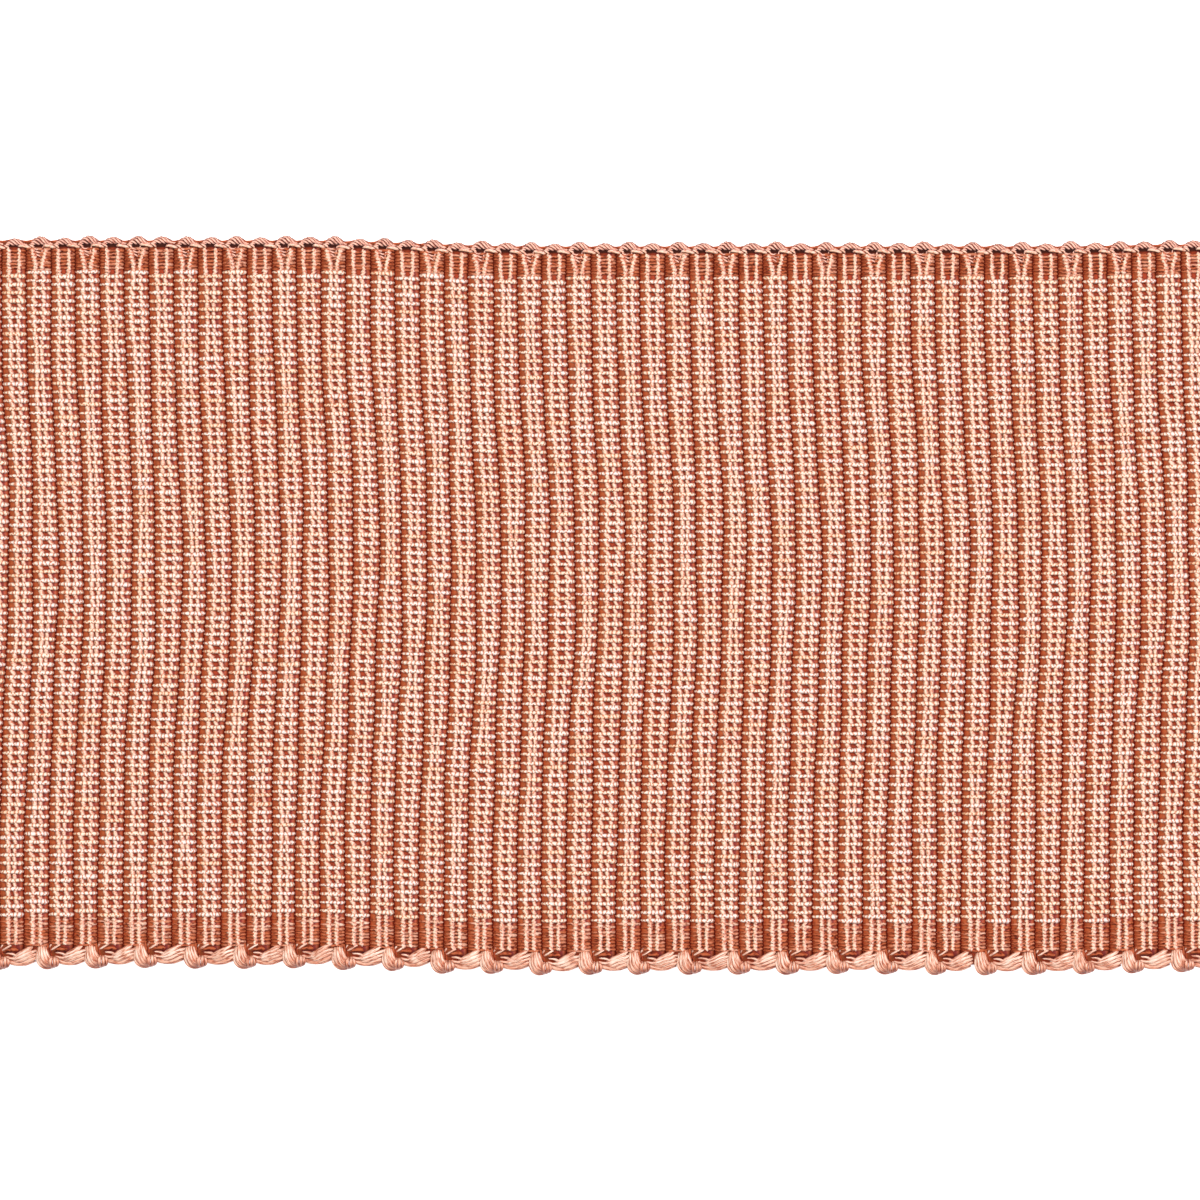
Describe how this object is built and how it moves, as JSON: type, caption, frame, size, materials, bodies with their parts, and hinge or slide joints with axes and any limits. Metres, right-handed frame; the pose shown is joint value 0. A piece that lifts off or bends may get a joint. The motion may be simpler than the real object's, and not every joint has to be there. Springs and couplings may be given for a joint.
{
  "type": "faille tape trim",
  "caption": "Cut length of thick ribbed woven trimming tape, with raised cross ribs, a looped edge and a knotted edge, lying flat on its back.",
  "frame": {"origin": "middle of the tape's length and width, on the surface that its back lies on", "axes": "+X along the tape's length, +Y across its width towards the looped edge, +Z out of its face"},
  "size_m": [0.139, 0.0766, 0.0019],
  "materials": {
    "rib_yarn": "matt rust and peach yarns bound by shiny cream ones"
  },
  "bodies": {
    "root": {"ribbed_tape": "rib_yarn"}
  },
  "joints": []
}
